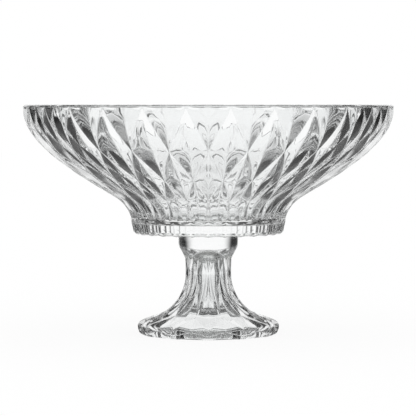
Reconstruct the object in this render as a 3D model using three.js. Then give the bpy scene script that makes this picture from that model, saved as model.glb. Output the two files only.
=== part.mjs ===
// A pressed glass centerpiece bowl on a pressed glass pedestal, joined by a thin film of clear adhesive.
// Millimetres, +Z up, with the origin on the table under the middle of the foot.

import * as THREE from 'three';

// Pedestal: foot
const FOOT_RADIUS = 57.5;
const FOOT_EDGE_HEIGHT = 6.4;
const FOOT_TUCK = 0.9;
const FOOT_CREASE_HEIGHT = 3.6;
const FOOT_CREASE_WAVE = 1.3;
const FOOT_BASE_RADIUS = 55.5;
const FOOT_RING_WIDTH = 7.5;
const SKIRT_RADIUS = 52;
const SKIRT_HEIGHT = 11.4;
const SKIRT_NODE_RADIUS = 37;
const SKIRT_NODE_HEIGHT = 16.8;

// Pedestal: hollow under the foot, with a bore up the stem
const CAVITY_HEIGHT = 72;
const CAVITY_SHOULDER_RADIUS = 28;
const CAVITY_SHOULDER_HEIGHT = 15;
const CAVITY_FLARE_HEIGHT = 26;
const BORE_RADIUS = 12.5;
const BORE_HEIGHT = 46;
const BORE_DRAFT = 0.025;

// Pedestal: stem and drum
const PEDESTAL_FOLD = 12;
const PEDESTAL_HOLLOW = 1.5;
const WAIST_RADIUS = 18.4;
const WAIST_HEIGHT = 50;
const FLARE_DROP = 15.4;
const FLARE_REACH = 10.5;
const FLARE_RISE = 6.3;
const STEM_TOP_RADIUS = 18.9;
const STEM_TOP_HEIGHT = 61.5;
const STEM_SCALLOP = 0.9;
const DRUM_NECK_RADIUS = 19.6;
const DRUM_RADIUS = 24.4;
const DRUM_STRAIGHT_HEIGHT = 8;
const DRUM_EDGE = 1;
const PEDESTAL_HEIGHT = 84;

// Adhesive film
const FILM_THICKNESS = 0.2;
const FILM_MARGIN = 0.4;

// Bowl: foot ring
const RECESS_DEPTH = 3;
const RECESS_RADIUS = 46;
const RECESS_DRAFT = 1;
const COLLAR_HEIGHT = 13.2;
const COLLAR_TOP_RADIUS = 63.4;
const COLLAR_BASE_RADIUS = 60.4;
const COLLAR_CORNER = 3.4;
const COLLAR_LEDGE = 0.6;
const FLUTE_DEPTH = 1.4;
const FLUTE_RUN = 3;
const FLUTE_LIFT = 0.8;

// Bowl: wall
const BOWL_FOLD = 28;
const BOWL_HOLLOW = 3.6;
const NECK_HEIGHT = 16;
const NECK_BEND_HEIGHT = 10.4;
const NECK_SCALLOP = 1;
const LOWER_ROW_HEIGHT = 16.8;
const MIDDLE_ROW_HEIGHT = 23.2;
const UPPER_ROW_HEIGHT = 33.2;
const LOWER_ROW_RADIUS = 75;
const RIM_RADIUS = 150;
const WALL_FULLNESS = 1.2;
const LIP_STEP = 0.8;
const LIP_HEIGHT = 1.6;
const UPPER_WALL = 6.5;
const LOWER_WALL = 5.5;
const FLOOR_THICKNESS = 7;
const FLOOR_RADIUS = 50;
const FLOOR_BLEND = 8;

// Finish
const BOWL_COLOUR = 0xf4f7f6;
const PEDESTAL_COLOUR = 0xf2f5f5;
const FILM_COLOUR = 0xf7f6ef;
const GLASS_ROUGHNESS = 0.03;
const FILM_ROUGHNESS = 0.2;
const OPACITY = 0.4;

// Heights that follow from the sizes above
const RECESS_Z = PEDESTAL_HEIGHT + FILM_THICKNESS;
const COLLAR_BASE_Z = RECESS_Z - RECESS_DEPTH;
const COLLAR_TOP_Z = COLLAR_BASE_Z + COLLAR_HEIGHT;
const LOWER_ROW_Z = COLLAR_TOP_Z + NECK_HEIGHT;
const MIDDLE_ROW_Z = LOWER_ROW_Z + LOWER_ROW_HEIGHT;
const UPPER_ROW_Z = MIDDLE_ROW_Z + MIDDLE_ROW_HEIGHT;
const FACETS_TOP_Z = UPPER_ROW_Z + UPPER_ROW_HEIGHT;
const LIP_Z = FACETS_TOP_Z + LIP_STEP;
const FLOOR_Z = RECESS_Z + FLOOR_THICKNESS;

// Facets: steps along one row of the lattice, along a smooth stretch, round a corner and over the lip
const BOWL_ROW_STEPS = 4;
const PEDESTAL_ROW_STEPS = 10;
const CURVE_STEPS = 5;
const CORNER_STEPS = 3;
const LIP_STEPS = 6;

// Ridges that stand halfway between the hollow centres, which spaces a ring's points evenly
const EVEN_SPREAD = 1 / 2;

// Step in row numbers that gives the direction of an outline
const NUDGE = 0.001;

const at = (radius, height) => new THREE.Vector2(radius, height);
const steps = (count) => Array.from({ length: count + 1 }, (_, k) => k / count);

// A point of an outline, turned round the axis by an angle
function polar(point, angle) {
  return new THREE.Vector3(point.x * Math.cos(angle), point.x * Math.sin(angle), point.y);
}

// One ring of points, four to a pitch: two hollow centres and the two ridges between them.
// The spread is how far each ridge stands from the first centre, as a share of half a pitch.
function ring(fold, spread, first, ridge, second) {
  const pitch = 2 * Math.PI / fold;
  const points = [];
  for (let i = 0; i < fold; i++) {
    points.push(polar(first, i * pitch));
    points.push(polar(ridge, (i + spread / 2) * pitch));
    points.push(polar(second, (i + 1 / 2) * pitch));
    points.push(polar(ridge, (i + 1 - spread / 2) * pitch));
  }
  return points;
}

const roundRing = (fold, point, spread = 0) => ring(fold, spread, point, point, point);

// A point of the outline at a row number, sunk square to the outline
function sunk(outline, row, depth) {
  const along = outline(row + NUDGE).sub(outline(row - NUDGE)).normalize();
  return outline(row).add(at(along.y, -along.x).multiplyScalar(depth));
}

// Depth of a diamond's crease along its length, as a share of the deepest point: a parabola over two rows
function crease(row) {
  const along = row % 2;
  return along * (2 - along);
}

// A ring of the diamond lattice. Ridges lie on the outline and cross at whole row numbers;
// diamonds start at odd rows on one set of centres and at even rows on the other.
function latticeRing(fold, outline, row, depth, lift = 0) {
  const spread = Math.abs(1 - row % 2);
  const first = sunk(outline, row, depth * crease(row + 1)).add(at(0, lift));
  const second = sunk(outline, row, depth * crease(row)).add(at(0, lift));
  return ring(fold, spread, first, outline(row), second);
}

// A closed body from rings that run from the axis, over its skin, back to the axis.
// Neighbouring points that fall together are one point, and flat triangles are left out.
// The diagonals of neighbouring faces lean opposite ways, so a diamond is the same on its left and right.
function closedBody(rings) {
  const points = [];
  const merged = 1e-6;
  const rows = rings.map((loop) => {
    const row = [];
    for (const point of loop) {
      const touches = (id) => id !== undefined && points[id].distanceTo(point) < merged;
      const near = [row.at(-1), row[0]].find(touches);
      row.push(near ?? points.push(point) - 1);
    }
    return row;
  });
  const faces = [];
  const addFace = (a, b, c) => {
    if (a !== b && b !== c && c !== a) faces.push(a, b, c);
  };
  for (let k = 0; k + 1 < rows.length; k++) {
    const [upper, lower] = [rows[k], rows[k + 1]];
    for (let j = 0; j < upper.length; j++) {
      const next = (j + 1) % upper.length;
      if (j % 2 === 0) {
        addFace(upper[j], lower[j], lower[next]);
        addFace(upper[j], lower[next], upper[next]);
      } else {
        addFace(upper[j], lower[j], upper[next]);
        addFace(upper[next], lower[j], lower[next]);
      }
    }
  }
  const geometry = new THREE.BufferGeometry();
  const coordinates = points.flatMap((point) => point.toArray());
  geometry.setAttribute('position', new THREE.Float32BufferAttribute(coordinates, 3));
  geometry.setIndex(faces);
  geometry.computeVertexNormals();
  return geometry;
}

// Outer wall of the bowl: a quarter sine wave from the lowest row of nodes to the rim, made a little fuller
function wallRadius(height) {
  const rise = (height - LOWER_ROW_Z) / (FACETS_TOP_Z - LOWER_ROW_Z);
  const wave = (RIM_RADIUS - LOWER_ROW_RADIUS) * Math.sin(rise * Math.PI / 2);
  return LOWER_ROW_RADIUS + wave + WALL_FULLNESS * Math.sin(rise * Math.PI) ** 2;
}

// Neck under the wall: leaves along the wall's own slope and bends down to the foot ring
function neckCurve() {
  const slope = (RIM_RADIUS - LOWER_ROW_RADIUS) * (Math.PI / 2) / (FACETS_TOP_Z - LOWER_ROW_Z);
  const bendRadius = LOWER_ROW_RADIUS - slope * (NECK_HEIGHT - NECK_BEND_HEIGHT);
  return new THREE.QuadraticBezierCurve(
    at(LOWER_ROW_RADIUS, LOWER_ROW_Z),
    at(bendRadius, COLLAR_TOP_Z + NECK_BEND_HEIGHT),
    at(COLLAR_TOP_RADIUS - COLLAR_LEDGE, COLLAR_TOP_Z),
  );
}

// Outline of the bowl by row number: 0 under the lip, 3 at the lowest nodes, 3.5 at the foot ring
const LAST_ROW = 3;
const NECK_END_ROW = 3.5;
const rowHeights = [FACETS_TOP_Z, UPPER_ROW_Z, MIDDLE_ROW_Z, LOWER_ROW_Z];
const neck = neckCurve();

function bowlOutline(row) {
  if (row > LAST_ROW) return neck.getPoint((row - LAST_ROW) / (NECK_END_ROW - LAST_ROW));
  const above = Math.min(Math.max(Math.floor(row), 0), LAST_ROW - 1);
  const height = THREE.MathUtils.lerp(rowHeights[above], rowHeights[above + 1], row - above);
  return at(wallRadius(height), height);
}

// Depth of the hollows shrinks with the diamonds towards the foot ring
const bowlHollow = (row) => BOWL_HOLLOW * bowlOutline(row).x / RIM_RADIUS;

// Inside of the bowl, from the floor up to the lip: the wall's outline set in by its thickness.
// The wall thickens upwards, where the hollows are deeper.
function insideRings() {
  const wallAt = (row) => THREE.MathUtils.lerp(UPPER_WALL, LOWER_WALL, row / LAST_ROW);
  const inside = (row) => sunk(bowlOutline, row, wallAt(row));
  const foot = inside(LAST_ROW);
  const along = foot.clone().sub(inside(LAST_ROW - NUDGE)).setLength(FLOOR_BLEND);
  const bowlFloor = new THREE.CubicBezierCurve(
    at(FLOOR_RADIUS, FLOOR_Z),
    at(FLOOR_RADIUS + FLOOR_BLEND, FLOOR_Z),
    foot.clone().add(along),
    foot,
  );
  const floorPoints = steps(CURVE_STEPS).map((t) => bowlFloor.getPoint(t));
  const wallSteps = LAST_ROW * BOWL_ROW_STEPS / 2;
  const wallPoints = steps(wallSteps).slice(1, -1).map((t) => inside(LAST_ROW * (1 - t)));
  return [at(0, FLOOR_Z), ...floorPoints, ...wallPoints].map((point) => roundRing(BOWL_FOLD, point));
}

// Fire-polished lip: half an ellipse over the wall's top, from the inside to the outside
function lipRings() {
  const middle = at(RIM_RADIUS - UPPER_WALL / 2, LIP_Z);
  return steps(LIP_STEPS).map((t) => {
    const turn = Math.PI * (1 - t);
    const point = at(Math.cos(turn) * UPPER_WALL / 2, Math.sin(turn) * LIP_HEIGHT).add(middle);
    return roundRing(BOWL_FOLD, point);
  });
}

// Foot ring: flutes that fade in under the ledge and turn into scallops round the lower corner, the ring's
// underside and the recess. A flute is a parabola across, crest to crest.
function collarRings() {
  const side = (height) => {
    const share = (height - COLLAR_BASE_Z) / COLLAR_HEIGHT;
    return at(THREE.MathUtils.lerp(COLLAR_BASE_RADIUS, COLLAR_TOP_RADIUS, share), height);
  };
  const fluted = (crest, depth, lift = 0) => {
    const valley = crest.clone().add(at(-depth, lift));
    const flank = crest.clone().lerp(valley, 1 - EVEN_SPREAD ** 2);
    return ring(BOWL_FOLD, EVEN_SPREAD, crest, flank, valley);
  };
  const top = COLLAR_TOP_Z - COLLAR_LEDGE;
  const corner = side(COLLAR_BASE_Z + COLLAR_CORNER);
  const rounding = steps(CORNER_STEPS).map((t) => {
    const turn = t * Math.PI / 2;
    const reach = at(Math.cos(turn) - 1, -Math.sin(turn)).multiplyScalar(COLLAR_CORNER);
    const settled = Math.sin(turn);
    return fluted(corner.clone().add(reach), FLUTE_DEPTH * (1 - settled), FLUTE_LIFT * settled);
  });
  const recess = [
    at(RECESS_RADIUS + RECESS_DRAFT, COLLAR_BASE_Z),
    at(RECESS_RADIUS, RECESS_Z),
    at(0, RECESS_Z),
  ];
  return [
    fluted(side(top), 0),
    fluted(side(top - FLUTE_RUN), FLUTE_DEPTH),
    ...rounding,
    ...recess.map((point) => roundRing(BOWL_FOLD, point)),
  ];
}

function bowlGeometry() {
  const rowCount = NECK_END_ROW * BOWL_ROW_STEPS;
  const latticeRings = steps(rowCount).map((t) => {
    const row = t * NECK_END_ROW;
    const lift = t === 1 ? NECK_SCALLOP : 0;
    return latticeRing(BOWL_FOLD, bowlOutline, row, bowlHollow(row), lift);
  });
  return closedBody([...insideRings(), ...lipRings(), ...latticeRings, ...collarRings()]);
}

// Outline of the pedestal by row number: 0.5 under the drum, 1 at the waist, 2 on the skirt, 3 at the edge
const STEM_TOP_ROW = 0.5;
const WAIST_ROW = 1;
const SKIRT_ROW = 2;
const SKIRT_END_ROW = 2.6;
const EDGE_ROW = 3;

const stem = new THREE.QuadraticBezierCurve(
  at(STEM_TOP_RADIUS, STEM_TOP_HEIGHT),
  at(WAIST_RADIUS, (STEM_TOP_HEIGHT + WAIST_HEIGHT) / 2),
  at(WAIST_RADIUS, WAIST_HEIGHT),
);
const flare = new THREE.CubicBezierCurve(
  at(WAIST_RADIUS, WAIST_HEIGHT),
  at(WAIST_RADIUS, WAIST_HEIGHT - FLARE_DROP),
  at(SKIRT_NODE_RADIUS - FLARE_REACH, SKIRT_NODE_HEIGHT + FLARE_RISE),
  at(SKIRT_NODE_RADIUS, SKIRT_NODE_HEIGHT),
);
const skirt = new THREE.LineCurve(at(SKIRT_NODE_RADIUS, SKIRT_NODE_HEIGHT), at(SKIRT_RADIUS, SKIRT_HEIGHT));
const skirtSlope = (SKIRT_NODE_HEIGHT - SKIRT_HEIGHT) / (SKIRT_RADIUS - SKIRT_NODE_RADIUS);
const edge = new THREE.QuadraticBezierCurve(
  at(SKIRT_RADIUS, SKIRT_HEIGHT),
  at(FOOT_RADIUS, SKIRT_HEIGHT - skirtSlope * (FOOT_RADIUS - SKIRT_RADIUS)),
  at(FOOT_RADIUS, FOOT_EDGE_HEIGHT),
);

function pedestalOutline(row) {
  const share = (start, end) => (row - start) / (end - start);
  if (row <= WAIST_ROW) return stem.getPoint(share(STEM_TOP_ROW, WAIST_ROW));
  if (row <= SKIRT_ROW) return flare.getPoint(share(WAIST_ROW, SKIRT_ROW));
  if (row <= SKIRT_END_ROW) return skirt.getPoint(share(SKIRT_ROW, SKIRT_END_ROW));
  return edge.getPoint(share(SKIRT_END_ROW, EDGE_ROW));
}

// Drum that carries the bowl: flat top, rounded edge, a straight side and a curve in to the stem
function drumRings() {
  const straightEnd = PEDESTAL_HEIGHT - DRUM_STRAIGHT_HEIGHT;
  const under = new THREE.CubicBezierCurve(
    at(DRUM_RADIUS, straightEnd),
    at(DRUM_RADIUS, (straightEnd + STEM_TOP_HEIGHT) / 2),
    at((DRUM_RADIUS + DRUM_NECK_RADIUS) / 2, (straightEnd + STEM_TOP_HEIGHT) / 2),
    at(DRUM_NECK_RADIUS, STEM_TOP_HEIGHT + STEM_SCALLOP),
  );
  const outline = [
    at(0, PEDESTAL_HEIGHT),
    at(DRUM_RADIUS - DRUM_EDGE, PEDESTAL_HEIGHT),
    at(DRUM_RADIUS, PEDESTAL_HEIGHT - DRUM_EDGE),
    ...steps(CURVE_STEPS).map((t) => under.getPoint(t)),
  ];
  return outline.map((point) => roundRing(PEDESTAL_FOLD, point, EVEN_SPREAD));
}

// Underside of the pedestal: a tuck in to the wavy crease, the lobed band, the flat ring it stands on
// and the hollow that the plunger leaves, which rises in a tapered bore to a round crown
function footRings() {
  const lobed = (radius, low, high) => {
    const lobe = at(radius, low);
    return ring(PEDESTAL_FOLD, 0, lobe, lobe, at(radius - PEDESTAL_HOLLOW, high));
  };
  const creaseLow = FOOT_CREASE_HEIGHT - FOOT_CREASE_WAVE;
  const creaseHigh = FOOT_CREASE_HEIGHT + FOOT_CREASE_WAVE;
  const bored = (height) => at(BORE_RADIUS - BORE_DRAFT * (height - BORE_HEIGHT), height);
  const mouth = new THREE.CubicBezierCurve(
    at(FOOT_BASE_RADIUS - FOOT_RING_WIDTH, 0),
    at(CAVITY_SHOULDER_RADIUS, CAVITY_SHOULDER_HEIGHT),
    bored(CAVITY_FLARE_HEIGHT),
    bored(BORE_HEIGHT),
  );
  const top = at(0, CAVITY_HEIGHT);
  const crown = new THREE.QuadraticBezierCurve(bored(BORE_HEIGHT), bored(CAVITY_HEIGHT), top);
  const cavity = [
    ...steps(2 * CURVE_STEPS).map((t) => mouth.getPoint(t)),
    ...steps(CURVE_STEPS).slice(1).map((t) => crown.getPoint(t)),
  ];
  return [
    lobed(FOOT_RADIUS - FOOT_TUCK, creaseLow, creaseHigh),
    lobed(FOOT_BASE_RADIUS, 0, 0),
    ...cavity.map((point) => roundRing(PEDESTAL_FOLD, point, EVEN_SPREAD)),
  ];
}

function pedestalGeometry() {
  const rowCount = (EDGE_ROW - STEM_TOP_ROW) * PEDESTAL_ROW_STEPS;
  const latticeRings = steps(rowCount).map((t) => {
    const row = THREE.MathUtils.lerp(STEM_TOP_ROW, EDGE_ROW, t);
    const lift = t === 0 ? STEM_SCALLOP / 2 : 0;
    return latticeRing(PEDESTAL_FOLD, pedestalOutline, row, PEDESTAL_HOLLOW, lift);
  });
  return closedBody([...drumRings(), ...latticeRings, ...footRings()]);
}

// Adhesive film between the drum's flat top and the bowl's flat underside
function filmGeometry() {
  const radius = DRUM_RADIUS - DRUM_EDGE - FILM_MARGIN;
  const top = [at(0, RECESS_Z), at(radius, RECESS_Z)];
  const base = [at(radius, PEDESTAL_HEIGHT), at(0, PEDESTAL_HEIGHT)];
  return closedBody([...top, ...base].map((point) => roundRing(PEDESTAL_FOLD, point, EVEN_SPREAD)));
}

function piece(name, geometry, color, roughness) {
  const finish = { color, roughness, metalness: 0, transparent: true, opacity: OPACITY };
  const mesh = new THREE.Mesh(geometry, new THREE.MeshStandardMaterial(finish));
  mesh.name = name;
  return mesh;
}

const centerpiece = new THREE.Group();
centerpiece.add(piece('bowl', bowlGeometry(), BOWL_COLOUR, GLASS_ROUGHNESS));
centerpiece.add(piece('pedestal', pedestalGeometry(), PEDESTAL_COLOUR, GLASS_ROUGHNESS));
centerpiece.add(piece('bond_film', filmGeometry(), FILM_COLOUR, FILM_ROUGHNESS));

export default centerpiece;
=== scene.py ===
# %% [markdown]
# # A glass centerpiece bowl
#
# The object is a footed bowl of clear pressed glass. A hot gob of glass is squeezed between a patterned
# mould and a smooth plunger, so the outside carries diamonds, flutes and lobes, while the inside is a plain
# surface of revolution. The bowl and its pedestal are two pressings, joined by a film of clear adhesive.
#
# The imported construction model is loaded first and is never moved. Each visible piece is then worked out as
# a finer surface in the same place, from the same sizes.

# %% Load the frame
import math

import bpy
import numpy as np
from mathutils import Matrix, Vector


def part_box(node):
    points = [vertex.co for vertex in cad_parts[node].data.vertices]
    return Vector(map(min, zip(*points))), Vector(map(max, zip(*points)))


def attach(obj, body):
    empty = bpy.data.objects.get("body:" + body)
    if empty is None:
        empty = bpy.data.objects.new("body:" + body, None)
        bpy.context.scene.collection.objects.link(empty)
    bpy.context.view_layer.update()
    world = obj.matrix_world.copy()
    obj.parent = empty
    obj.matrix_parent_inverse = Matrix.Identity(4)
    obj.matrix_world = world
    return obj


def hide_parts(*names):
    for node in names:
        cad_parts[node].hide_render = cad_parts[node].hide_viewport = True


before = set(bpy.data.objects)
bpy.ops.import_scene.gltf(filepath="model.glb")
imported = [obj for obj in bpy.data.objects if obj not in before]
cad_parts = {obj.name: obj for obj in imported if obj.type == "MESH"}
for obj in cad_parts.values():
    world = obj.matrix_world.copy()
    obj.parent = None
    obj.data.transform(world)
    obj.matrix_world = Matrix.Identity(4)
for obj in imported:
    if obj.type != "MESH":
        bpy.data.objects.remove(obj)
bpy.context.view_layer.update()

BOWL_LOW, BOWL_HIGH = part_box("bowl")
PEDESTAL_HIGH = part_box("pedestal")[1]
FILM_LOW, FILM_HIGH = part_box("bond_film")
MM = 0.001
print("the bowl is", round(2 * BOWL_HIGH.x / MM), "mm across and stands", round(BOWL_HIGH.z / MM), "mm high")

# %% [markdown]
# ## Grid surfaces
#
# Every piece here is a closed skin: a line that starts on the axis, runs over the outside, comes back to the
# axis, and is carried round a full turn. Blender's Spin or Screw could turn such a line, but the pattern
# changes from angle to angle. So a piece is worked out as a grid of points, one row for each place along
# the line and one column for each angle, with a single point at both ends. Shading is smooth, except where
# two faces meet at more than a set angle, as at the ledges and creases that the mould leaves sharp.

# %% From a grid of points to a closed mesh
SHARP_ANGLE = 42


def closed_skin(name, points):
    """Makes a mesh object from rows of points, in millimetres, whose first and last rows lie on the axis.

    Rows run over the skin so that the outside is passed downwards, and columns run anticlockwise seen from
    above, which makes every face point outwards. The two end rows become one point each."""
    rows, columns = points.shape[:2]
    between = points[1:-1].reshape(-1, 3)
    start, end = len(between), len(between) + 1
    vertices = np.concatenate([between, points[:1, 0], points[-1:, 0]]) * MM
    index = np.arange(len(between)).reshape(rows - 2, columns)
    beside = np.roll(index, -1, axis=1)
    quads = np.stack([index[:-1], index[1:], beside[1:], beside[:-1]], axis=-1).reshape(-1, 4)
    cap = np.stack([np.full(columns, start), index[0], beside[0]], axis=-1)
    base = np.stack([np.full(columns, end), beside[-1], index[-1]], axis=-1)
    mesh = bpy.data.meshes.new(name)
    mesh.from_pydata(vertices.tolist(), [], quads.tolist() + cap.tolist() + base.tolist())
    mesh.shade_smooth()
    mesh.set_sharp_from_angle(angle=math.radians(SHARP_ANGLE))
    piece = bpy.data.objects.new(name, mesh)
    bpy.context.collection.objects.link(piece)
    print(name, "has", 2 * (len(quads) + columns), "triangles")
    return piece


def turned(outline, angles):
    """Carries an outline of (radius, height) round the axis: each row gets its own list of angles."""
    radius, height = outline[..., 0], outline[..., 1]
    return np.stack([radius * np.cos(angles), radius * np.sin(angles), height + 0 * angles], axis=-1)

# %% [markdown]
# Outlines are made of a few straight, round and free stretches. Four small functions give their points, the
# direction that points into the glass, and a soft start and stop.

# %% Curves and normals
def bezier(t, *controls):
    """Bezier curve of any degree: control points of (radius, height), weighted by Bernstein polynomials."""
    t = np.asarray(t, float)[:, None]
    degree = len(controls) - 1
    weights = [math.comb(degree, k) * t ** k * (1 - t) ** (degree - k) for k in range(degree + 1)]
    return sum(weight * np.array(control, float) for weight, control in zip(weights, controls))


def arc(middle, radius, start, stop, count):
    """Points of a circular arc round a middle of (radius, height), between two angles in degrees."""
    turn = np.radians(np.linspace(start, stop, count))
    return np.array(middle, float) + radius * np.stack([np.cos(turn), np.sin(turn)], axis=1)


def inward(outline):
    """Unit normals of an outline that runs down the outside: its direction, turned a quarter turn inwards."""
    along = np.gradient(outline, axis=0)
    along /= np.linalg.norm(along, axis=1, keepdims=True)
    return np.stack([along[:, 1], -along[:, 0]], axis=1)


def eased(share):
    """A share from 0 to 1 that leaves and arrives level, as 3s^2 - 2s^3, and is held outside that range."""
    share = np.clip(share, 0, 1)
    return share ** 2 * (3 - 2 * share)


print("a share of a quarter is eased to", eased(0.25))

# %% [markdown]
# ## The diamond lattice
#
# Two families of thin ridges wind round the glass in opposite directions. They cross at nodes, and each
# diamond between them is a hollow with a crease down its middle. A bump map could fake that on an opaque
# pot, but glass bends light by its true shape, so the hollows are modelled.
#
# The columns of the grid follow the ridges, as threads follow a net. Each ridge has a narrow flat top, called
# its land here, and the columns crowd together at the land's edges. A pitch of the net has four stretches
# of columns: up to a ridge, down to a crease, up to the next ridge and down again.

# %% Columns that follow the ridges
NODE_SHARE = 0.03
RIDGE_LAND = 0.9
LAND_EDGE = 0.25
SLOPE_SHARES = np.array([0.35, 0.65, 0.94])


def lattice(fold, row, radius):
    """Columns of the net at each row number: angles, gaps from the ridge's land and widths of the slopes.

    A ridge's place is the distance of the row number from the nearest odd one, in half pitches, so ridges
    cross at whole rows. Gaps and widths are in millimetres at the row's radius."""
    row = np.asarray(row, float)
    radius = np.asarray(radius, float) + 0 * row
    half = (math.pi / fold * radius)[:, None]
    ridge = half * np.clip(np.abs(1 - row % 2), NODE_SHARE, 1 - NODE_SHARE)[:, None]
    places, gaps, widths = [], [], []
    for middle, span, way in (
            (ridge, ridge, -1), (ridge, half - ridge, 1),
            (2 * half - ridge, half - ridge, -1), (2 * half - ridge, ridge, 1)):
        land = np.minimum(RIDGE_LAND / 2, span / 4)
        edge = np.minimum(LAND_EDGE / 2, land / 2)
        off = np.concatenate([0 * span, land - edge, land + edge, span * SLOPE_SHARES, span], axis=1)
        off = off[:, :-1] if way > 0 else off[:, :0:-1]
        places.append(middle + way * off)
        gaps.append(np.maximum(off - land, 0))
        widths.append(span - land + 0 * off)
    angles = np.concatenate(places, axis=1) / radius[:, None]
    pitches = 2 * math.pi / fold * np.arange(fold)
    angles = (pitches[:, None] + angles[:, None]).reshape(len(row), -1)
    gaps = np.tile(np.concatenate(gaps, axis=1), fold)
    widths = np.tile(np.concatenate(widths, axis=1), fold)
    return angles, gaps, widths


print("a pitch of the net has", lattice(1, [0], 1)[0].size, "columns")

# %% [markdown]
# A hollow is the product of two shapes: a straight slope on each side of its crease, rounded at the bottom
# by the polished crest of the mould, and a parabola along the crease from node to node.

# %% Hollows between the ridges
CREASE_RADIUS = 0.3


def hollow(gap, width):
    """Depth across a facet, from 0 at the ridge's land to 1 on the crease: a slope ending in a hyperbola."""
    left = np.hypot(width - gap, CREASE_RADIUS) - CREASE_RADIUS
    return 1 - left / (np.hypot(width, CREASE_RADIUS) - CREASE_RADIUS)


def crease_depth(row, first):
    """Depth of the crease along a diamond, as a share: a parabola over two rows.

    Diamonds on the first set of centres start at odd rows, the others at even rows."""
    along = (row + first) % 2
    return along * (2 - along)


def pressed(fold, row, outline, depth):
    """Presses the diamonds into an outline: each point sinks square to it, by depth in millimetres."""
    angles, gaps, widths = lattice(fold, row, outline[:, 0])
    stretch = gaps.shape[1] // fold // 4
    on_first = np.tile(np.repeat([True, False, False, True], stretch), fold)
    crease = np.where(on_first, crease_depth(row, 1)[:, None], crease_depth(row, 0)[:, None])
    sunk = depth[:, None] * crease * hollow(gaps, widths)
    points = outline[:, None] + sunk[..., None] * inward(outline)[:, None]
    return points, angles, sunk


print("half way along a diamond its crease is", crease_depth(1, 0), "deep, as a share")

# %% [markdown]
# ## The bowl
#
# The wall leaves the foot ring in a tight neck, opens along a cone and turns upright under the lip. A quarter
# of a sine wave follows that rise closely, which keeps the wall a formula instead of a list of points. The
# neck is a Bezier curve that starts along the wall's own slope.

# %% Outline of the bowl's wall and neck
RIM_RADIUS = BOWL_HIGH.x / MM
RECESS_Z = FILM_HIGH.z / MM
COLLAR_BASE_Z = BOWL_LOW.z / MM
LIP_HEIGHT = 1.6
LIP_STEP = 0.8
LIP_Z = BOWL_HIGH.z / MM - LIP_HEIGHT
FACETS_TOP_Z = LIP_Z - LIP_STEP
COLLAR_HEIGHT = 13.2
COLLAR_TOP_RADIUS = 63.4
COLLAR_LEDGE = 0.6
COLLAR_TOP_Z = COLLAR_BASE_Z + COLLAR_HEIGHT
NECK_HEIGHT = 16
NECK_BEND_HEIGHT = 10.4
LOWER_ROW_HEIGHT, MIDDLE_ROW_HEIGHT = 16.8, 23.2
LOWER_ROW_Z = COLLAR_TOP_Z + NECK_HEIGHT
MIDDLE_ROW_Z = LOWER_ROW_Z + LOWER_ROW_HEIGHT
UPPER_ROW_Z = MIDDLE_ROW_Z + MIDDLE_ROW_HEIGHT
LOWER_ROW_RADIUS = 75
WALL_FULLNESS = 1.2
LAST_ROW = 3
NECK_END_ROW = 3.5
WALL_RISE = FACETS_TOP_Z - LOWER_ROW_Z


def wall_outline(row):
    """Outside of the wall for row numbers from 0, under the lip, to 3, at the lowest nodes.

    Radius is a quarter sine of the height, plus a sine squared that makes the middle a little fuller."""
    height = np.interp(row, [0, 1, 2, LAST_ROW], [FACETS_TOP_Z, UPPER_ROW_Z, MIDDLE_ROW_Z, LOWER_ROW_Z])
    rise = (height - LOWER_ROW_Z) / WALL_RISE
    wave = (RIM_RADIUS - LOWER_ROW_RADIUS) * np.sin(rise * np.pi / 2)
    radius = LOWER_ROW_RADIUS + wave + WALL_FULLNESS * np.sin(rise * np.pi) ** 2
    return np.stack([radius, height], axis=1)


def neck_outline(row):
    """Outside of the neck, row numbers 3 to 3.5: a curve from the wall's slope down to the foot ring."""
    slope = (RIM_RADIUS - LOWER_ROW_RADIUS) * (np.pi / 2) / WALL_RISE
    bend = (LOWER_ROW_RADIUS - slope * (NECK_HEIGHT - NECK_BEND_HEIGHT), COLLAR_TOP_Z + NECK_BEND_HEIGHT)
    end = (COLLAR_TOP_RADIUS - COLLAR_LEDGE, COLLAR_TOP_Z)
    return bezier((row - LAST_ROW) / (NECK_END_ROW - LAST_ROW), (LOWER_ROW_RADIUS, LOWER_ROW_Z), bend, end)


print("the wall rises", round(WALL_RISE, 1), "mm above a neck of", NECK_HEIGHT, "mm")

# %% [markdown]
# The hollows are deepest on the large upper diamonds and shrink with the diamonds towards the foot ring,
# where each one ends in a small scallop above a ledge.

# %% Pattern on the bowl
BOWL_FOLD = 28
BOWL_HOLLOW = 3.6
NECK_SCALLOP = 1.0
ROW_STEPS = 15


def bowl_pattern():
    """Outside of the bowl from the lip to the foot ring, with the diamonds sunk into it.

    The scallops are the last hollows, lifted by the fourth power of the way down the neck."""
    wall_rows = np.linspace(0, LAST_ROW, LAST_ROW * ROW_STEPS, endpoint=False)
    neck_rows = np.linspace(LAST_ROW, NECK_END_ROW, ROW_STEPS)
    row = np.concatenate([wall_rows, neck_rows])
    outline = np.concatenate([wall_outline(wall_rows), neck_outline(neck_rows)])
    depth = BOWL_HOLLOW * outline[:, 0] / RIM_RADIUS
    points, angles, sunk = pressed(BOWL_FOLD, row, outline, depth)
    way_down = np.clip((row - LAST_ROW) / (NECK_END_ROW - LAST_ROW), 0, 1)[:, None]
    points[..., 1] += NECK_SCALLOP * way_down ** 4 * sunk / sunk[-1].max()
    print("the deepest diamond is sunk", round(sunk.max(), 2), "mm")
    return turned(points, angles)

# %% [markdown]
# Inside, the plunger leaves a smooth dish. Its wall is the outside's outline, set in by the thickness of the
# glass, which is a little more at the lip, where the hollows are deeper. A curve levels it out into the
# floor. The lip, rounded in the flame, is half an ellipse.

# %% Inside and lip of the bowl
UPPER_WALL = 6.5
LOWER_WALL = 5.5
FLOOR_THICKNESS = 7
FLOOR_RADIUS = 50
FLOOR_BLEND = 8
INSIDE_ROWS, BLEND_ROWS, LIP_ROWS = 24, 14, 15


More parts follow.
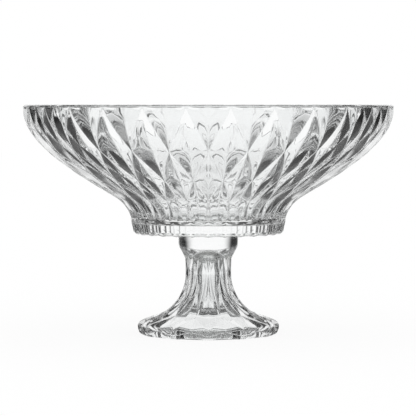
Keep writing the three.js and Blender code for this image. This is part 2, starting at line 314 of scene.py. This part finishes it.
def inside_outline():
    """Inside from the middle of the floor up and over the lip, as points of (radius, height)."""
    row = np.linspace(LAST_ROW, 0, INSIDE_ROWS)
    thickness = np.interp(row, [0, LAST_ROW], [UPPER_WALL, LOWER_WALL])[:, None]
    outside = wall_outline(row)
    wall = outside - thickness * inward(outside)
    lead = wall[0] - wall[1]
    lead = wall[0] + FLOOR_BLEND * lead / np.linalg.norm(lead)
    floor_z = RECESS_Z + FLOOR_THICKNESS
    blend_start = (FLOOR_RADIUS + FLOOR_BLEND, floor_z)
    blend = bezier(np.linspace(0, 1, BLEND_ROWS), (FLOOR_RADIUS, floor_z), blend_start, lead, wall[0])
    flat = [(share * FLOOR_RADIUS, floor_z) for share in (0, 0.5, 0.9)]
    half_lip = (UPPER_WALL / 2, LIP_HEIGHT)
    lip = arc((0, 0), 1, 180, 0, LIP_ROWS) * half_lip + (RIM_RADIUS - UPPER_WALL / 2, LIP_Z)
    return np.concatenate([flat, blend, wall[1:-1], lip])


print("the wall is", LOWER_WALL, "to", UPPER_WALL, "mm thick, and the floor", FLOOR_THICKNESS, "mm")

# %% [markdown]
# Under the neck a ledge leads out to the foot ring. Its side has shallow flutes that run down to the
# rounded corner and end there in scallops, so that the lower edge waves a little. The recess inside the
# ring holds the bond.

# %% Foot ring of the bowl
RECESS_RADIUS = 46
RECESS_DRAFT = 1
COLLAR_BASE_RADIUS = 60.4
COLLAR_CORNER = 3.4
FLUTE_DEPTH = 1.4
FLUTE_RUN = 3
FLUTE_LIFT = 0.8
SIDE_ROWS, CORNER_ROWS = 12, 8


def foot_ring():
    """Foot ring: a tapered, fluted side, a rounded corner, the underside and the recess.

    A flute is a parabola across. It fades in under the ledge, and round the corner its depth turns into
    the lift of a scallop."""
    top, corner = COLLAR_TOP_Z - COLLAR_LEDGE, COLLAR_BASE_Z + COLLAR_CORNER
    height = np.linspace(top, corner, SIDE_ROWS)
    taper = np.interp(height, [COLLAR_BASE_Z, COLLAR_TOP_Z], [COLLAR_BASE_RADIUS, COLLAR_TOP_RADIUS])
    rounding = arc((taper[-1] - COLLAR_CORNER, corner), COLLAR_CORNER, 0, -90, CORNER_ROWS)[1:]
    side = np.concatenate([np.stack([taper, height], axis=1), rounding])
    above = eased((side[:, 1] - COLLAR_BASE_Z) / COLLAR_CORNER)[:, None]
    fade = eased((top - side[:, 1]) / FLUTE_RUN)[:, None] * above
    recess = [(RECESS_RADIUS + RECESS_DRAFT, COLLAR_BASE_Z)]
    recess += [(share * RECESS_RADIUS, RECESS_Z) for share in (1, 0.5, 0)]
    outline = np.concatenate([side, recess])
    row = np.full(len(outline), NECK_END_ROW)
    angles = lattice(BOWL_FOLD, row, COLLAR_TOP_RADIUS - COLLAR_LEDGE)[0]
    across = 1 - (angles[:len(side)] * BOWL_FOLD / np.pi % 2 - 1) ** 2
    points = np.repeat(outline[:, None], angles.shape[1], axis=1)
    points[:len(side), :, 0] -= FLUTE_DEPTH * fade * across
    points[:len(side), :, 1] += FLUTE_LIFT * (1 - above) * across
    return turned(points, angles)


print("the foot ring is", COLLAR_HEIGHT, "mm high and has", BOWL_FOLD, "flutes")

# %% [markdown]
# The three stretches join into one skin. On the smooth inside the columns are evenly spaced, because a
# sheaf of thin faces would bend the light in steps, and they drift to the places of the net over the lip.

# %% The bowl as one piece
inside = inside_outline()
net_angles = lattice(BOWL_FOLD, [0], RIM_RADIUS)[0]
even_angles = np.linspace(0, 2 * np.pi, net_angles.shape[1], endpoint=False)
over_lip = eased((np.arange(len(inside)) - len(inside) + LIP_ROWS) / (LIP_ROWS - 1))[:, None]
inside_angles = even_angles * (1 - over_lip) + net_angles * over_lip
inside_skin = turned(np.repeat(inside[:, None], inside_angles.shape[1], axis=1), inside_angles)
bowl = closed_skin("pressed_bowl", np.concatenate([inside_skin, bowl_pattern(), foot_ring()]))
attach(bowl, "root")
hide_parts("bowl")

# %% [markdown]
# ## The pedestal
#
# The pedestal is the second pressing: a plain round drum that the bowl stands on, a waisted stem and a
# skirt, pressed with a longer net of the same diamonds, and a foot with a lobed edge. Three Bezier curves
# and a straight line give its outline.

# %% Stem and skirt of the pedestal
FOOT_RADIUS = PEDESTAL_HIGH.x / MM
PEDESTAL_HEIGHT = PEDESTAL_HIGH.z / MM
PEDESTAL_FOLD = 12
PEDESTAL_HOLLOW = 1.5
SKIRT_RADIUS, SKIRT_HEIGHT = 52, 11.4
SKIRT_NODE_RADIUS, SKIRT_NODE_HEIGHT = 37, 16.8
WAIST_RADIUS, WAIST_HEIGHT = 18.4, 50
FLARE_DROP, FLARE_REACH, FLARE_RISE = 15.4, 10.5, 6.3
STEM_TOP_RADIUS, STEM_TOP_HEIGHT = 18.9, 61.5
STEM_SCALLOP = 0.9
FOOT_EDGE_HEIGHT = 6.4
STEM_TOP_ROW, WAIST_ROW, SKIRT_ROW, SKIRT_END_ROW, EDGE_ROW = 0.5, 1, 2, 2.6, 3
STEM_STEPS, FLARE_STEPS, SKIRT_STEPS, KNEE_STEPS = 14, 26, 12, 12


def stem_outline():
    """Row numbers and outline from under the drum, over the waist and the skirt, to the foot's edge."""
    waist = (WAIST_RADIUS, WAIST_HEIGHT)
    node = (SKIRT_NODE_RADIUS, SKIRT_NODE_HEIGHT)
    skirt_end = (SKIRT_RADIUS, SKIRT_HEIGHT)
    half_stem = (WAIST_RADIUS, (STEM_TOP_HEIGHT + WAIST_HEIGHT) / 2)
    under_waist = (WAIST_RADIUS, WAIST_HEIGHT - FLARE_DROP)
    over_skirt = (SKIRT_NODE_RADIUS - FLARE_REACH, SKIRT_NODE_HEIGHT + FLARE_RISE)
    slope = (SKIRT_NODE_HEIGHT - SKIRT_HEIGHT) / (SKIRT_RADIUS - SKIRT_NODE_RADIUS)
    knee = (FOOT_RADIUS, SKIRT_HEIGHT - slope * (FOOT_RADIUS - SKIRT_RADIUS))
    stretches = [
        (STEM_TOP_ROW, WAIST_ROW, STEM_STEPS, [(STEM_TOP_RADIUS, STEM_TOP_HEIGHT), half_stem, waist]),
        (WAIST_ROW, SKIRT_ROW, FLARE_STEPS, [waist, under_waist, over_skirt, node]),
        (SKIRT_ROW, SKIRT_END_ROW, SKIRT_STEPS, [node, skirt_end]),
        (SKIRT_END_ROW, EDGE_ROW, KNEE_STEPS, [skirt_end, knee, (FOOT_RADIUS, FOOT_EDGE_HEIGHT)]),
    ]
    rows, outline = [], []
    for start, end, count, controls in stretches:
        t = np.linspace(0, 1, count, endpoint=end == EDGE_ROW)
        rows.append(start + t * (end - start))
        outline.append(bezier(t, *controls))
    return np.concatenate(rows), np.concatenate(outline)


print("the stem's waist is", 2 * WAIST_RADIUS, "mm across")

# %% [markdown]
# The mould parts just under the foot's widest line. There the skirt tucks in to a wavy crease, and below it a
# plain band runs down to the table.

# %% Pattern and foot band of the pedestal
FOOT_BASE_RADIUS = 55.5
FOOT_TUCK = 0.9
FOOT_CREASE_HEIGHT = 3.6
FOOT_CREASE_WAVE = 1.3
FOOT_BAND_BULGE = 0.3
FOOT_STEPS = 7


def pedestal_pattern():
    """Stem, skirt and edge with their diamonds, then a quarter turn in to the crease and the band below it.

    The crease's height is a cosine of the angle, with as many waves as the foot has lobes."""
    row, outline = stem_outline()
    points, angles, sunk = pressed(PEDESTAL_FOLD, row, outline, np.full(len(row), PEDESTAL_HOLLOW))
    way_up = np.clip((WAIST_ROW - row) / (WAIST_ROW - STEM_TOP_ROW), 0, 1)[:, None]
    points[..., 1] += STEM_SCALLOP / 2 * way_up ** 4 * sunk / sunk[0].max()
    widest, lobe_angles, lobes = points[-1, :, 0], angles[-1], sunk[-1]
    crease = FOOT_CREASE_HEIGHT - FOOT_CREASE_WAVE * np.cos(PEDESTAL_FOLD * lobe_angles)
    turn = np.linspace(0, np.pi / 2, FOOT_STEPS)[1:, None]
    tuck_radius = widest - FOOT_TUCK * (1 - np.cos(turn))
    tuck_height = FOOT_EDGE_HEIGHT + (crease - FOOT_EDGE_HEIGHT) * np.sin(turn)
    drop = np.linspace(0, 1, FOOT_STEPS)[1:, None]
    band_radius = (widest - FOOT_TUCK) * (1 - drop) + (FOOT_BASE_RADIUS - lobes) * drop
    band_radius += FOOT_BAND_BULGE * np.sin(np.pi * drop)
    tuck = np.stack([tuck_radius, tuck_height], axis=-1)
    band = np.stack([band_radius, crease * (1 - drop)], axis=-1)
    foot = np.concatenate([tuck, band])
    foot_angles = np.repeat(lobe_angles[None], len(foot), axis=0)
    return np.concatenate([turned(points, angles), turned(foot, foot_angles)])


print("the foot has", PEDESTAL_FOLD, "lobes")

# %% [markdown]
# Above the stem stands the drum. Inside, a long plunger leaves a hollow that follows the skirt and rises up
# the stem as a tapered bore, so the glass is about as thick everywhere and cools evenly. That is what lets
# the far ridges show through the near ones. Both are plain surfaces of revolution, with the columns that
# the net has where they join it.

# %% Drum and hollow of the pedestal
DRUM_NECK_RADIUS, DRUM_RADIUS = 19.6, 24.4
DRUM_STRAIGHT_HEIGHT = 8
DRUM_EDGE = 1
FOOT_RING_WIDTH = 7.5
CAVITY_HEIGHT = 72
CAVITY_SHOULDER_RADIUS, CAVITY_SHOULDER_HEIGHT = 28, 15
CAVITY_FLARE_HEIGHT = 26
BORE_RADIUS, BORE_HEIGHT = 12.5, 46
BORE_DRAFT = 0.025
DRUM_EDGE_ROWS, DRUM_ROWS, HOLLOW_ROWS, CROWN_ROWS = 6, 16, 24, 14


def drum_outline():
    """Drum from the middle of its flat top over the rounded edge and the straight side in to the stem."""
    straight_end = PEDESTAL_HEIGHT - DRUM_STRAIGHT_HEIGHT
    middle = (straight_end + STEM_TOP_HEIGHT) / 2
    top = [(share * (DRUM_RADIUS - DRUM_EDGE), PEDESTAL_HEIGHT) for share in (0, 0.5, 0.95)]
    edge_middle = (DRUM_RADIUS - DRUM_EDGE, PEDESTAL_HEIGHT - DRUM_EDGE)
    edge = arc(edge_middle, DRUM_EDGE, 90, 0, DRUM_EDGE_ROWS)
    half_neck = ((DRUM_RADIUS + DRUM_NECK_RADIUS) / 2, middle)
    neck = (DRUM_NECK_RADIUS, STEM_TOP_HEIGHT + STEM_SCALLOP)
    t = np.linspace(0, 1, DRUM_ROWS)
    side = bezier(t, (DRUM_RADIUS, straight_end), (DRUM_RADIUS, middle), half_neck, neck)
    return np.concatenate([top, edge, side])


def bored(height):
    """A place on the bore's tapered side, which leans in by its draft for each millimetre of height."""
    return BORE_RADIUS - BORE_DRAFT * (height - BORE_HEIGHT), height


def cavity_outline():
    """Hollow from the foot's ring up to the bore, and over a round crown to the axis."""
    mouth = (FOOT_BASE_RADIUS - FOOT_RING_WIDTH, 0)
    shoulder = (CAVITY_SHOULDER_RADIUS, CAVITY_SHOULDER_HEIGHT)
    throat = bored(BORE_HEIGHT)
    up, over = np.linspace(0, 1, HOLLOW_ROWS), np.linspace(0, 1, CROWN_ROWS)[1:]
    flare = bezier(up, mouth, shoulder, bored(CAVITY_FLARE_HEIGHT), throat)
    crown = bezier(over, throat, bored(CAVITY_HEIGHT), (0, CAVITY_HEIGHT))
    return np.concatenate([flare, crown])


def plain_skin(outline, row, radius):
    """A plain stretch of the pedestal, with the columns that the net has at a row number."""
    angles = lattice(PEDESTAL_FOLD, np.full(len(outline), row), radius)[0]
    return turned(np.repeat(outline[:, None], angles.shape[1], axis=1), angles)


print("the stem's glass is", round(WAIST_RADIUS - BORE_RADIUS, 1), "mm thick at the waist")

# %% [markdown]
# The drum, the pattern and the hollow join into one skin, as on the bowl. It starts in the middle of the
# drum's top and ends in the middle of the bore's crown.

# %% The pedestal as one piece
drum = plain_skin(drum_outline(), STEM_TOP_ROW, STEM_TOP_RADIUS)
cavity = plain_skin(cavity_outline(), EDGE_ROW, FOOT_RADIUS)
pedestal = closed_skin("pressed_pedestal", np.concatenate([drum, pedestal_pattern(), cavity]))
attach(pedestal, "root")
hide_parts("pedestal")

# %% [markdown]
# ## The bond film
#
# A drop of clear adhesive is squeezed out into a disc and cured with ultraviolet light. It wets both glasses,
# so light passes from one to the other as if they were one piece. The film therefore reaches a twentieth of
# a millimetre into each: the renderer then finds no air between them.

# %% Bond film
FILM_RADIUS = FILM_HIGH.x / MM
FILM_WET = 0.05
FILM_COLUMNS = 96
film_low, film_high = FILM_LOW.z / MM - FILM_WET, FILM_HIGH.z / MM + FILM_WET
film_top = [(share * FILM_RADIUS, film_high) for share in (0, 0.6, 1)]
film_base = [(share * FILM_RADIUS, film_low) for share in (1, 0.6, 0)]
film_outline = np.repeat(np.array(film_top + film_base)[:, None], FILM_COLUMNS, axis=1)
film_angles = np.linspace(0, 2 * np.pi, FILM_COLUMNS, endpoint=False) + np.zeros((len(film_outline), 1))
film = closed_skin("bond_disc", turned(film_outline, film_angles))
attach(film, "root")
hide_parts("bond_film")

# %% [markdown]
# ## Glass
#
# Two small functions serve all materials. Colours are written as on a web page and turned to the linear
# values that a shader works in, and every node is added with its settings and links in one call.

# %% Colours and nodes
def linear(hex_colour):
    """sRGB hex to the linear colour that a shader takes."""
    channels = [int(hex_colour[k:k + 2], 16) / 255 for k in (1, 3, 5)]
    return [c / 12.92 if c <= 0.04045 else ((c + 0.055) / 1.055) ** 2.4 for c in channels] + [1.0]


def add_node(tree, kind, settings=None, links=None):
    """Adds a node: settings go to its properties or input sockets, links join input sockets to other nodes.

    A link names an output socket, or a node, which stands for its first output."""
    node = tree.nodes.new(kind)
    for key, value in (settings or {}).items():
        if isinstance(key, str) and hasattr(node, key):
            setattr(node, key, value)
        else:
            node.inputs[key].default_value = value
    for key, source in (links or {}).items():
        output = source.outputs[0] if isinstance(source, bpy.types.Node) else source
        tree.links.new(output, node.inputs[key])
    return node


print("a middle grey of the screen is", round(linear("#808080")[0], 3), "in linear light")

# %% [markdown]
# The glass is soda-lime, pressed and fire-polished: the flame melts the skin smooth, so it has no grain, but
# the chilled mould leaves a faint ripple, which a soft noise in the normals draws. Its colour is all but
# white. The adhesive bends light nearly as much as glass does, which is why the bond can't be seen.

# %% Pressed glass and adhesive
GLASS_IOR, ADHESIVE_IOR = 1.52, 1.5
GLASS_RIPPLE, GLASS_RIPPLE_HEIGHT = 9, 0.02
ADHESIVE_RIPPLE, ADHESIVE_RIPPLE_HEIGHT = 4, 0.002


def clear_glass(name, colour, ior, ripple, ripple_height):
    """Clear glass with a ripple: noise of a size in millimetres tilts the normals a little."""
    material = bpy.data.materials.new(name)
    material.use_nodes = True
    tree = material.node_tree
    tree.nodes.clear()
    place = add_node(tree, "ShaderNodeTexCoord").outputs["Object"]
    noise = add_node(
        tree, "ShaderNodeTexNoise", {"Scale": 1 / (ripple * MM), "Detail": 1.0}, {"Vector": place})
    bump = add_node(
        tree, "ShaderNodeBump", {"Strength": 1.0, "Distance": ripple_height * MM}, {"Height": noise})
    body = add_node(
        tree, "ShaderNodeBsdfPrincipled",
        {"Base Color": linear(colour), "Transmission Weight": 1.0, "IOR": ior, "Roughness": 0.0},
        {"Normal": bump})
    add_node(tree, "ShaderNodeOutputMaterial", None, {"Surface": body})
    print(name, "bends light by", ior, "and ripples over", ripple, "mm")
    return material


pressed_glass = clear_glass(
    "pressed_soda_lime_glass", "#FCFDFD", GLASS_IOR, GLASS_RIPPLE, GLASS_RIPPLE_HEIGHT)
adhesive = clear_glass(
    "cured_clear_adhesive", "#FDFDFB", ADHESIVE_IOR, ADHESIVE_RIPPLE, ADHESIVE_RIPPLE_HEIGHT)
bowl.data.materials.append(pressed_glass)
pedestal.data.materials.append(pressed_glass)
film.data.materials.append(adhesive)

# %% [markdown]
# ## Stage
#
# Clear glass has no colour of its own: what the eye sees in it is the room behind, bent. Photographers light
# it with a bright field: white paper straight behind the glass and dark cards at its sides, so that every
# facet that bends the view away from the paper turns grey or black. Here the studio is white in three
# sectors, behind the object, before it and on its left, and dark between them.

# %% White sectors of the studio
BEHIND, BEFORE, LEFT = (0, 1, 0), (0, -1, 0), (-1, 0, 0)
BEHIND_EDGES, BEFORE_EDGES = (41, 20), (75, 50)
LEFT_EDGES = (18, 11)
SOFT = {"interpolation_type": "SMOOTHSTEP"}


def sector(tree, level, toward, edges, tone=1.0):
    """Tone of a sector of level directions, eased between two edges, in degrees off its middle."""
    facing = add_node(tree, "ShaderNodeVectorMath", {"operation": "DOT_PRODUCT", 1: toward}, {0: level})
    dark, white = (math.cos(math.radians(edge)) for edge in edges)
    return add_node(
        tree, "ShaderNodeMapRange", {**SOFT, "From Min": dark, "From Max": white, "To Max": tone},
        {"Value": facing.outputs["Value"]})


print("the white behind the object is", 2 * BEHIND_EDGES[0], "degrees wide")

# %% [markdown]
# The table is a large pale plane. Its tones are worked out from two things, the direction and the distance of
# each place from the object. Distances are pairs of metres: where a tone starts and where it is reached. A
# dark ring round the foot is a painted shadow of the object, which draws the edges of the glass, and the
# round under the foot is pale.

# %% Table top
TABLE_SIZE = 12.0
half_table = TABLE_SIZE / 2
signs = [(-1, -1), (1, -1), (1, 1), (-1, 1)]
table_mesh = bpy.data.meshes.new("table_top")
table_mesh.from_pydata([(x * half_table, y * half_table, 0) for x, y in signs], [], [(0, 1, 2, 3)])
table_top = bpy.data.objects.new("table_top", table_mesh)
bpy.context.collection.objects.link(table_top)
print("the table is", TABLE_SIZE, "m wide")

# %% Tones of the table
BEHIND_REACH, BEHIND_NEAR_TONE = (0.3, 1.2), 0.88
LEFT_REACH = (0.8, 1.4)
# the dark ring round the foot is painted shadow of the object, seen only by rays through the glass
PAINTED_SHADOW_REACH, PAINTED_SHADOW_TONE = (0.15, 0.1), 0.05
FOOT_REACH, FOOT_TONE = (0.053, 0.045), 0.95
TABLE_DARK = 0.02
table = bpy.data.materials.new("matt_white_table")
table.use_nodes = True
tree = table.node_tree
tree.nodes.clear()
place = add_node(tree, "ShaderNodeTexCoord").outputs["Object"]
level = add_node(tree, "ShaderNodeVectorMath", {"operation": "NORMALIZE"}, {0: place})
reach = add_node(tree, "ShaderNodeVectorMath", {"operation": "LENGTH"}, {0: place}).outputs["Value"]
shares = [
    add_node(tree, "ShaderNodeMapRange", {**SOFT, "From Min": start, "From Max": end}, {"Value": reach})
    for start, end in (BEHIND_REACH, LEFT_REACH, PAINTED_SHADOW_REACH, FOOT_REACH)]
far_behind, far_left, in_painted_shadow, in_foot = shares
behind = add_node(tree, "ShaderNodeMix", {"data_type": "FLOAT", 2: BEHIND_NEAR_TONE, 3: 1.0}, {0: far_behind})
tone = sector(tree, level, BEFORE, BEFORE_EDGES)
for share, white in (
        (behind, sector(tree, level, BEHIND, BEHIND_EDGES)),
        (far_left, sector(tree, level, LEFT, LEFT_EDGES))):
    white = add_node(tree, "ShaderNodeMath", {"operation": "MULTIPLY"}, {0: white, 1: share})
    tone = add_node(tree, "ShaderNodeMath", {"operation": "MAXIMUM"}, {0: tone, 1: white})
tone = add_node(tree, "ShaderNodeMath", {"operation": "MAXIMUM", 1: TABLE_DARK}, {0: tone})
# painted shadow: the table's tone drops to a dark ring round the foot
tone = add_node(tree, "ShaderNodeMix", {"data_type": "FLOAT", 3: PAINTED_SHADOW_TONE}, {0: in_painted_shadow, 2: tone})
tone = add_node(tree, "ShaderNodeMix", {"data_type": "FLOAT", 3: FOOT_TONE}, {0: in_foot, 2: tone})
print("the tones of the table take", len(tree.nodes), "nodes")

# %% [markdown]
# From above, the view drops through a single wall of glass onto the table, where a plain pale top shows the
# glass best. The Incoming vector tells how steeply a ray comes down, and its depth how many surfaces it has
# crossed: two for a single wall.

# %% Table seen from above
STEEP, STEEP_TONE = (0.25, 0.45), 0.9
WALL_SURFACES = 2
toward = add_node(tree, "ShaderNodeNewGeometry").outputs["Incoming"]
rise = add_node(tree, "ShaderNodeSeparateXYZ", None, {0: toward}).outputs["Z"]
steep = add_node(
    tree, "ShaderNodeMapRange", {**SOFT, "From Min": STEEP[0], "From Max": STEEP[1]}, {"Value": rise})
ray = add_node(tree, "ShaderNodeLightPath").outputs
single = add_node(
    tree, "ShaderNodeMath", {"operation": "LESS_THAN", 1: WALL_SURFACES + 0.5}, {0: ray["Ray Depth"]})
from_above = add_node(tree, "ShaderNodeMath", {"operation": "MULTIPLY"}, {0: steep, 1: single})
tone = add_node(tree, "ShaderNodeMix", {"data_type": "FLOAT", 3: STEEP_TONE}, {0: from_above, 2: tone})
print("through one wall, a steep ray sees the table at a tone of", STEEP_TONE)

# %% [markdown]
# To the camera the table is white paper with a faint shadow of the object. Most of its light is its own, so
# that it stays white, and the rest is a matt paint that takes the shadow. To rays that come through the
# glass or are mirrored in it, it shows the tones. The Light Path node tells the two apart.

# %% Finish of the table
PAINT_SHARE = 0.1
paint = add_node(tree, "ShaderNodeBsdfDiffuse", {"Color": (PAINT_SHARE, PAINT_SHARE, PAINT_SHARE, 1)})
paper = add_node(tree, "ShaderNodeEmission", {"Color": (1, 1, 1, 1), "Strength": 1 - PAINT_SHARE})
paper = add_node(tree, "ShaderNodeAddShader", None, {0: paint, 1: paper})
glow = add_node(tree, "ShaderNodeEmission", {"Color": (1, 1, 1, 1)}, {"Strength": tone})
surface = add_node(tree, "ShaderNodeMixShader", None, {0: ray["Is Camera Ray"], 1: glow, 2: paper})
add_node(tree, "ShaderNodeOutputMaterial", None, {"Surface": surface})
table_top.data.materials.append(table)
print("the table's material has", len(tree.nodes), "nodes")

# %% [markdown]
# The room above the table continues the sectors up to a height, with a grey ceiling over them. It is drawn by
# the world, from the direction of each ray. Only rays that the glass bends or mirrors see it; to the camera
# and to the table's paint the room is plain white light. Heights are sines of the angle above the horizon.

# %% Room
WALL_TOP, CEILING, CEILING_TONE = (0.65, 0.5), (0.55, 0.75), 0.3
BEFORE_TONE = 0.4
ROOM_DARK = 0.01
scene = bpy.context.scene
world = bpy.data.worlds.new("studio")
scene.world = world
world.use_nodes = True
tree = world.node_tree
tree.nodes.clear()
way = add_node(tree, "ShaderNodeTexCoord").outputs["Generated"]
flat = add_node(tree, "ShaderNodeVectorMath", {"operation": "MULTIPLY", 1: (1, 1, 0)}, {0: way})
level = add_node(tree, "ShaderNodeVectorMath", {"operation": "NORMALIZE"}, {0: flat})
height = add_node(tree, "ShaderNodeSeparateXYZ", None, {0: way}).outputs["Z"]
walls = sector(tree, level, BEHIND, BEHIND_EDGES)
for white in (sector(tree, level, LEFT, LEFT_EDGES), sector(tree, level, BEFORE, BEFORE_EDGES, BEFORE_TONE)):
    walls = add_node(tree, "ShaderNodeMath", {"operation": "MAXIMUM"}, {0: walls, 1: white})
low = add_node(
    tree, "ShaderNodeMapRange", {**SOFT, "From Min": WALL_TOP[0], "From Max": WALL_TOP[1]}, {"Value": height})
ceiling = add_node(
    tree, "ShaderNodeMapRange",
    {**SOFT, "From Min": CEILING[0], "From Max": CEILING[1], "To Min": ROOM_DARK, "To Max": CEILING_TONE},
    {"Value": height})
room = add_node(tree, "ShaderNodeMath", {"operation": "MULTIPLY"}, {0: walls, 1: low})
room = add_node(tree, "ShaderNodeMath", {"operation": "MAXIMUM"}, {0: room, 1: ceiling})
ray = add_node(tree, "ShaderNodeLightPath").outputs
bent = add_node(
    tree, "ShaderNodeMath", {"operation": "MAXIMUM"},
    {0: ray["Is Transmission Ray"], 1: ray["Is Glossy Ray"]})
light = add_node(tree, "ShaderNodeMix", {"data_type": "FLOAT", 2: 1.0}, {0: bent, 3: room})
shine = add_node(tree, "ShaderNodeBackground", {"Color": (1, 1, 1, 1)}, {"Strength": light})
add_node(tree, "ShaderNodeOutputWorld", None, {"Surface": shine})
print("the room has", len(tree.nodes), "nodes")

# %% [markdown]
# ## Camera
#
# The camera stands almost level with the rim, far back with a long lens, as for a catalogue picture. Light
# crosses many walls of glass on its way, so the renderer may follow it through more bounces than usual.

# %% Camera
LENS, SENSOR_WIDTH = 190.7, 36
CAMERA_SIDE = -0.0003
CAMERA_DISTANCE = 1.7905
CAMERA_HEIGHT = 0.1868
CAMERA_TILT = 2.712
FARTHEST = 100
GLASS_BOUNCES = 32
camera = bpy.data.cameras.new("camera")
camera.lens = LENS
camera.sensor_width = SENSOR_WIDTH
camera.sensor_fit = "HORIZONTAL"
camera.clip_end = FARTHEST
eye = bpy.data.objects.new("camera", camera)
eye.location = (CAMERA_SIDE, -CAMERA_DISTANCE, CAMERA_HEIGHT)
eye.rotation_euler = (math.radians(90 - CAMERA_TILT), 0, 0)
bpy.context.collection.objects.link(eye)
scene.camera = eye
scene.view_settings.view_transform = "Standard"
scene.cycles.max_bounces = GLASS_BOUNCES
scene.cycles.transmission_bounces = GLASS_BOUNCES
scene.cycles.glossy_bounces = GLASS_BOUNCES // 2
print("the camera stands", CAMERA_DISTANCE, "m away")
